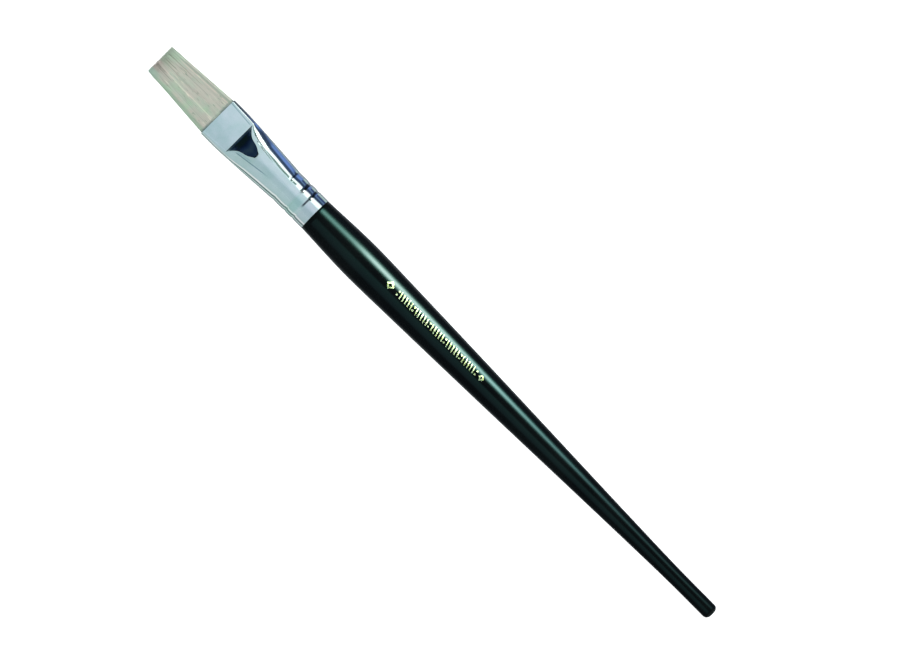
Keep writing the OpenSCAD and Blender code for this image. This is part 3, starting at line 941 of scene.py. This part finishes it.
def card(name, group, centre, towards, size, radiance=1.0, colour=(1, 1, 1)):
    """A panel that shows only in what is glossy, and only on the objects of one group."""
    lamp = area_light(name, centre, towards, size, colour, radiance, glossy=True, diffuse=False)
    lamp.light_linking.receiver_collection = group
    return lamp


def card_round(name, group, x, degrees, distance, size, radiance, colour=(1, 1, 1)):
    """A card that faces the brush's axis at x, from an angle round it."""
    return card(name, group, at_angle(x, degrees, distance), (x, 0, AXIS_Z * MM), size, radiance, colour)


above, below = (0.05, -0.1, 0.95), (0.05, 0, 0)
area_light("soft_top", above, below, (1.5, 1.5), (1, 1, 0.98), 2.1, glossy=False, diffuse=True)

# Cards close round the ferrule, most with a profile along it and round the axis
ON_METAL = lit_group("on_metal", nickel_ferrule)
METAL_REACH, STRIP_COLOUR = 0.13, (0.9, 1, 0.96)
NEAR_X, NEAR_LEN = 0.0725, 0.265
even = [(0.0, 0.7), (0.08, 1.0), (1.0, 1.0)]
over = card("tent_top", ON_METAL, (NEAR_X, 0.01, 0.159), (NEAR_X, 0.01, 0), (NEAR_LEN, 0.28))
shaped(over, even, [
    (0.0, (0.62, 0.80, 0.84)),
    (0.39, (0.68, 0.82, 0.89)),
    (0.464, (0.57, 0.74, 0.81)),
    (0.55, (0.41, 0.57, 0.61)),
    (1.0, (0.48, 0.64, 0.66)),
])
for name, y, colour in (("wing_left", 0.09, (0.44, 0.61, 0.63)), ("wing_right", -0.09, (0.62, 0.80, 0.84))):
    card(name, ON_METAL, (0.2475, y, 0.159), (0.2475, y, 0), (0.085, 0.12), 1.0, colour)
side = card("tent_side", ON_METAL, (0.105, 0.15, 0.005), (0.105, 0, 0.005), (0.37, 0.31))
shaped(side, even, [
    (0.0, (0.48, 0.64, 0.66)),
    (0.38, (0.46, 0.62, 0.63)),
    (0.49, (0.42, 0.58, 0.57)),
    (0.545, (1.0, 1.0, 1.0)),
    (0.59, (0.9, 1.0, 0.95)),
    (0.64, (0.34, 0.46, 0.43)),
    (0.68, (0.04, 0.07, 0.07)),
    (0.74, (0.05, 0.09, 0.09)),
    (0.80, (0.42, 0.56, 0.50)),
    (1.0, (0.36, 0.50, 0.46)),
], "LINEAR")
blue = card("blue_card", ON_METAL, (0.1135, -0.13, -0.0465), (0.1135, 0, -0.0465), (0.035, 0.139))
shaped(blue, [(0.0, 0.9), (0.2, 1.0), (0.6, 1.0), (1.0, 0.0)], [
    (0.0, (0.25, 0.36, 0.36)),
    (0.14, (0.20, 0.30, 0.33)),
    (0.22, (0.05, 0.09, 0.22)),
    (0.36, (0.13, 0.24, 0.52)),
    (0.55, (0.12, 0.22, 0.55)),
    (0.78, (0.20, 0.34, 0.78)),
    (0.90, (0.12, 0.21, 0.46)),
    (0.96, (0.03, 0.06, 0.14)),
    (1.0, (0.03, 0.06, 0.14)),
])
low = card("collar_card", ON_METAL, (0.078, -0.13, -0.0465), (0.078, 0, -0.0465), (0.036, 0.139))
shaped(low, even, [
    (0.0, (0.36, 0.52, 0.46)),
    (0.46, (0.34, 0.48, 0.44)),
    (0.52, (0.14, 0.20, 0.28)),
    (0.60, (0.012, 0.02, 0.09)),
    (0.80, (0.02, 0.04, 0.13)),
    (0.88, (0.12, 0.20, 0.34)),
    (1.0, (0.10, 0.17, 0.24)),
], "LINEAR")
line = card_round("cone_strip", ON_METAL, 0.155, -58.5, METAL_REACH, (0.11, 0.038), 4.4, STRIP_COLOUR)
shaped(line, [
    (0.0, 0.28),
    (0.08, 0.4),
    (0.27, 0.4),
    (0.36, 1.0),
    (1.0, 1.0),
], [(0.0, 0.0), (0.2, 1.0), (0.8, 1.0), (1.0, 0.0)])
blob = card_round("collar_strip", ON_METAL, 0.075, -52.5, METAL_REACH, (0.05, 0.072), 1.7, STRIP_COLOUR)
shaped(blob, even, [(0.0, 0.0), (0.12, 0.8), (0.8, 1.0), (1.0, 0.0)])

# A long soft strip and a teal card beside the handle
ON_LACQUER = lit_group("on_lacquer", lacquered_handle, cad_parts["foil_imprint"])
LACQUER_REACH = 0.36
strip = card_round("strip", ON_LACQUER, 0.0, -50, LACQUER_REACH, (0.5, 0.32), 40.0)
shaped(strip, [
    (0.0, (0.006, 0.012, 0.013)),
    (0.15, (0.022, 0.04, 0.043)),
    (0.22, (0.05, 0.09, 0.10)),
    (0.30, (0.14, 0.24, 0.26)),
    (0.38, (0.5, 0.72, 0.74)),
    (0.46, 1.0),
    (0.58, 1.05),
    (0.615, (0.85, 0.95, 0.93)),
    (0.65, (0.36, 0.50, 0.46)),
    (0.70, (0.20, 0.32, 0.30)),
    (1.0, (0.14, 0.27, 0.26)),
], [
    (0.0, 0.0),
    (0.22, (0.05, 0.17, 0.13)),
    (0.42, (0.70, 1.0, 0.92)),
    (0.62, (0.70, 1.0, 0.92)),
    (0.80, (0.05, 0.17, 0.13)),
    (1.0, 0.0),
])
teal = card_round("teal_card", ON_LACQUER, -0.075, 36, LACQUER_REACH, (0.41, 0.38), 1.15)
shaped(teal, [(0.0, 0.7), (0.5, 1.0), (1.0, 1.0)], [
    (0.0, 0.0),
    (0.1, (0.17, 0.62, 0.56)),
    (0.5, (0.16, 0.46, 0.46)),
    (0.8, (0.12, 0.30, 0.34)),
    (1.0, 0.0),
], "LINEAR")

# The room's light goes by the angle round the brush's axis, and is dark ahead of the tips, for the tongue
world = bpy.data.worlds.new("studio")
world.use_nodes = True
bpy.context.scene.world = world
tree = world.node_tree
background = tree.nodes["Background"]
way = node(tree, "SeparateXYZ", {0: node(tree, "TexCoord").outputs["Generated"]})
round_axis = maths(tree, "ARCTAN2", way.outputs["Y"], way.outputs["Z"])
share = maths(tree, "ADD", maths(tree, "MULTIPLY", round_axis, 0.5 / math.pi), 0.5)


def at_degrees(degrees):
    return 0.5 + degrees / 360


room = ramp(
    tree,
    share,
    [
        (0.0, (0.34, 0.38, 0.42)),
        (at_degrees(-145), (0.34, 0.38, 0.42)),
        (at_degrees(-115), (0.03, 0.04, 0.06)),
        (at_degrees(-75), (0.04, 0.075, 0.16)),
        (at_degrees(-66), (0.045, 0.075, 0.13)),
        (at_degrees(-52), (0.16, 0.27, 0.24)),
        (at_degrees(-40), (0.16, 0.27, 0.24)),
        (at_degrees(-34), (0.02, 0.03, 0.04)),
        (at_degrees(-12), (0.008, 0.014, 0.022)),
        (at_degrees(5), (0.008, 0.014, 0.022)),
        (at_degrees(60), (0.02, 0.03, 0.04)),
        (at_degrees(118), (0.03, 0.035, 0.05)),
        (at_degrees(148), (0.30, 0.36, 0.36)),
        (1.0, (0.34, 0.38, 0.42)),
    ],
)
forward = ramp(tree, way.outputs["X"], [(0.22, 0.0), (0.45, 1.0)], "EASE")
ahead = ramp(
    tree,
    way.outputs["X"],
    [
        (0.640, (0.005, 0.013, 0.004)),
        (0.655, (0.004, 0.010, 0.010)),
        (0.668, (0.003, 0.008, 0.026)),
        (0.690, (0.009, 0.024, 0.058)),
        (0.708, (0.03, 0.06, 0.08)),
        (0.725, (0.07, 0.12, 0.13)),
    ],
)
back_way = maths(tree, "MULTIPLY", way.outputs["X"], -1.0)
behind = ramp(tree, back_way, [(0.62, 0.0), (0.80, 1.0)], "EASE")
room = tinted(tree, behind, room, (0.30, 0.38, 0.38))
dark_ahead = tinted(tree, forward, room, ahead)
seen = node(tree, "LightPath").outputs["Is Camera Ray"]
tree.links.new(tinted(tree, seen, dark_ahead, (1.0, 1.0, 1.0)), background.inputs["Color"])
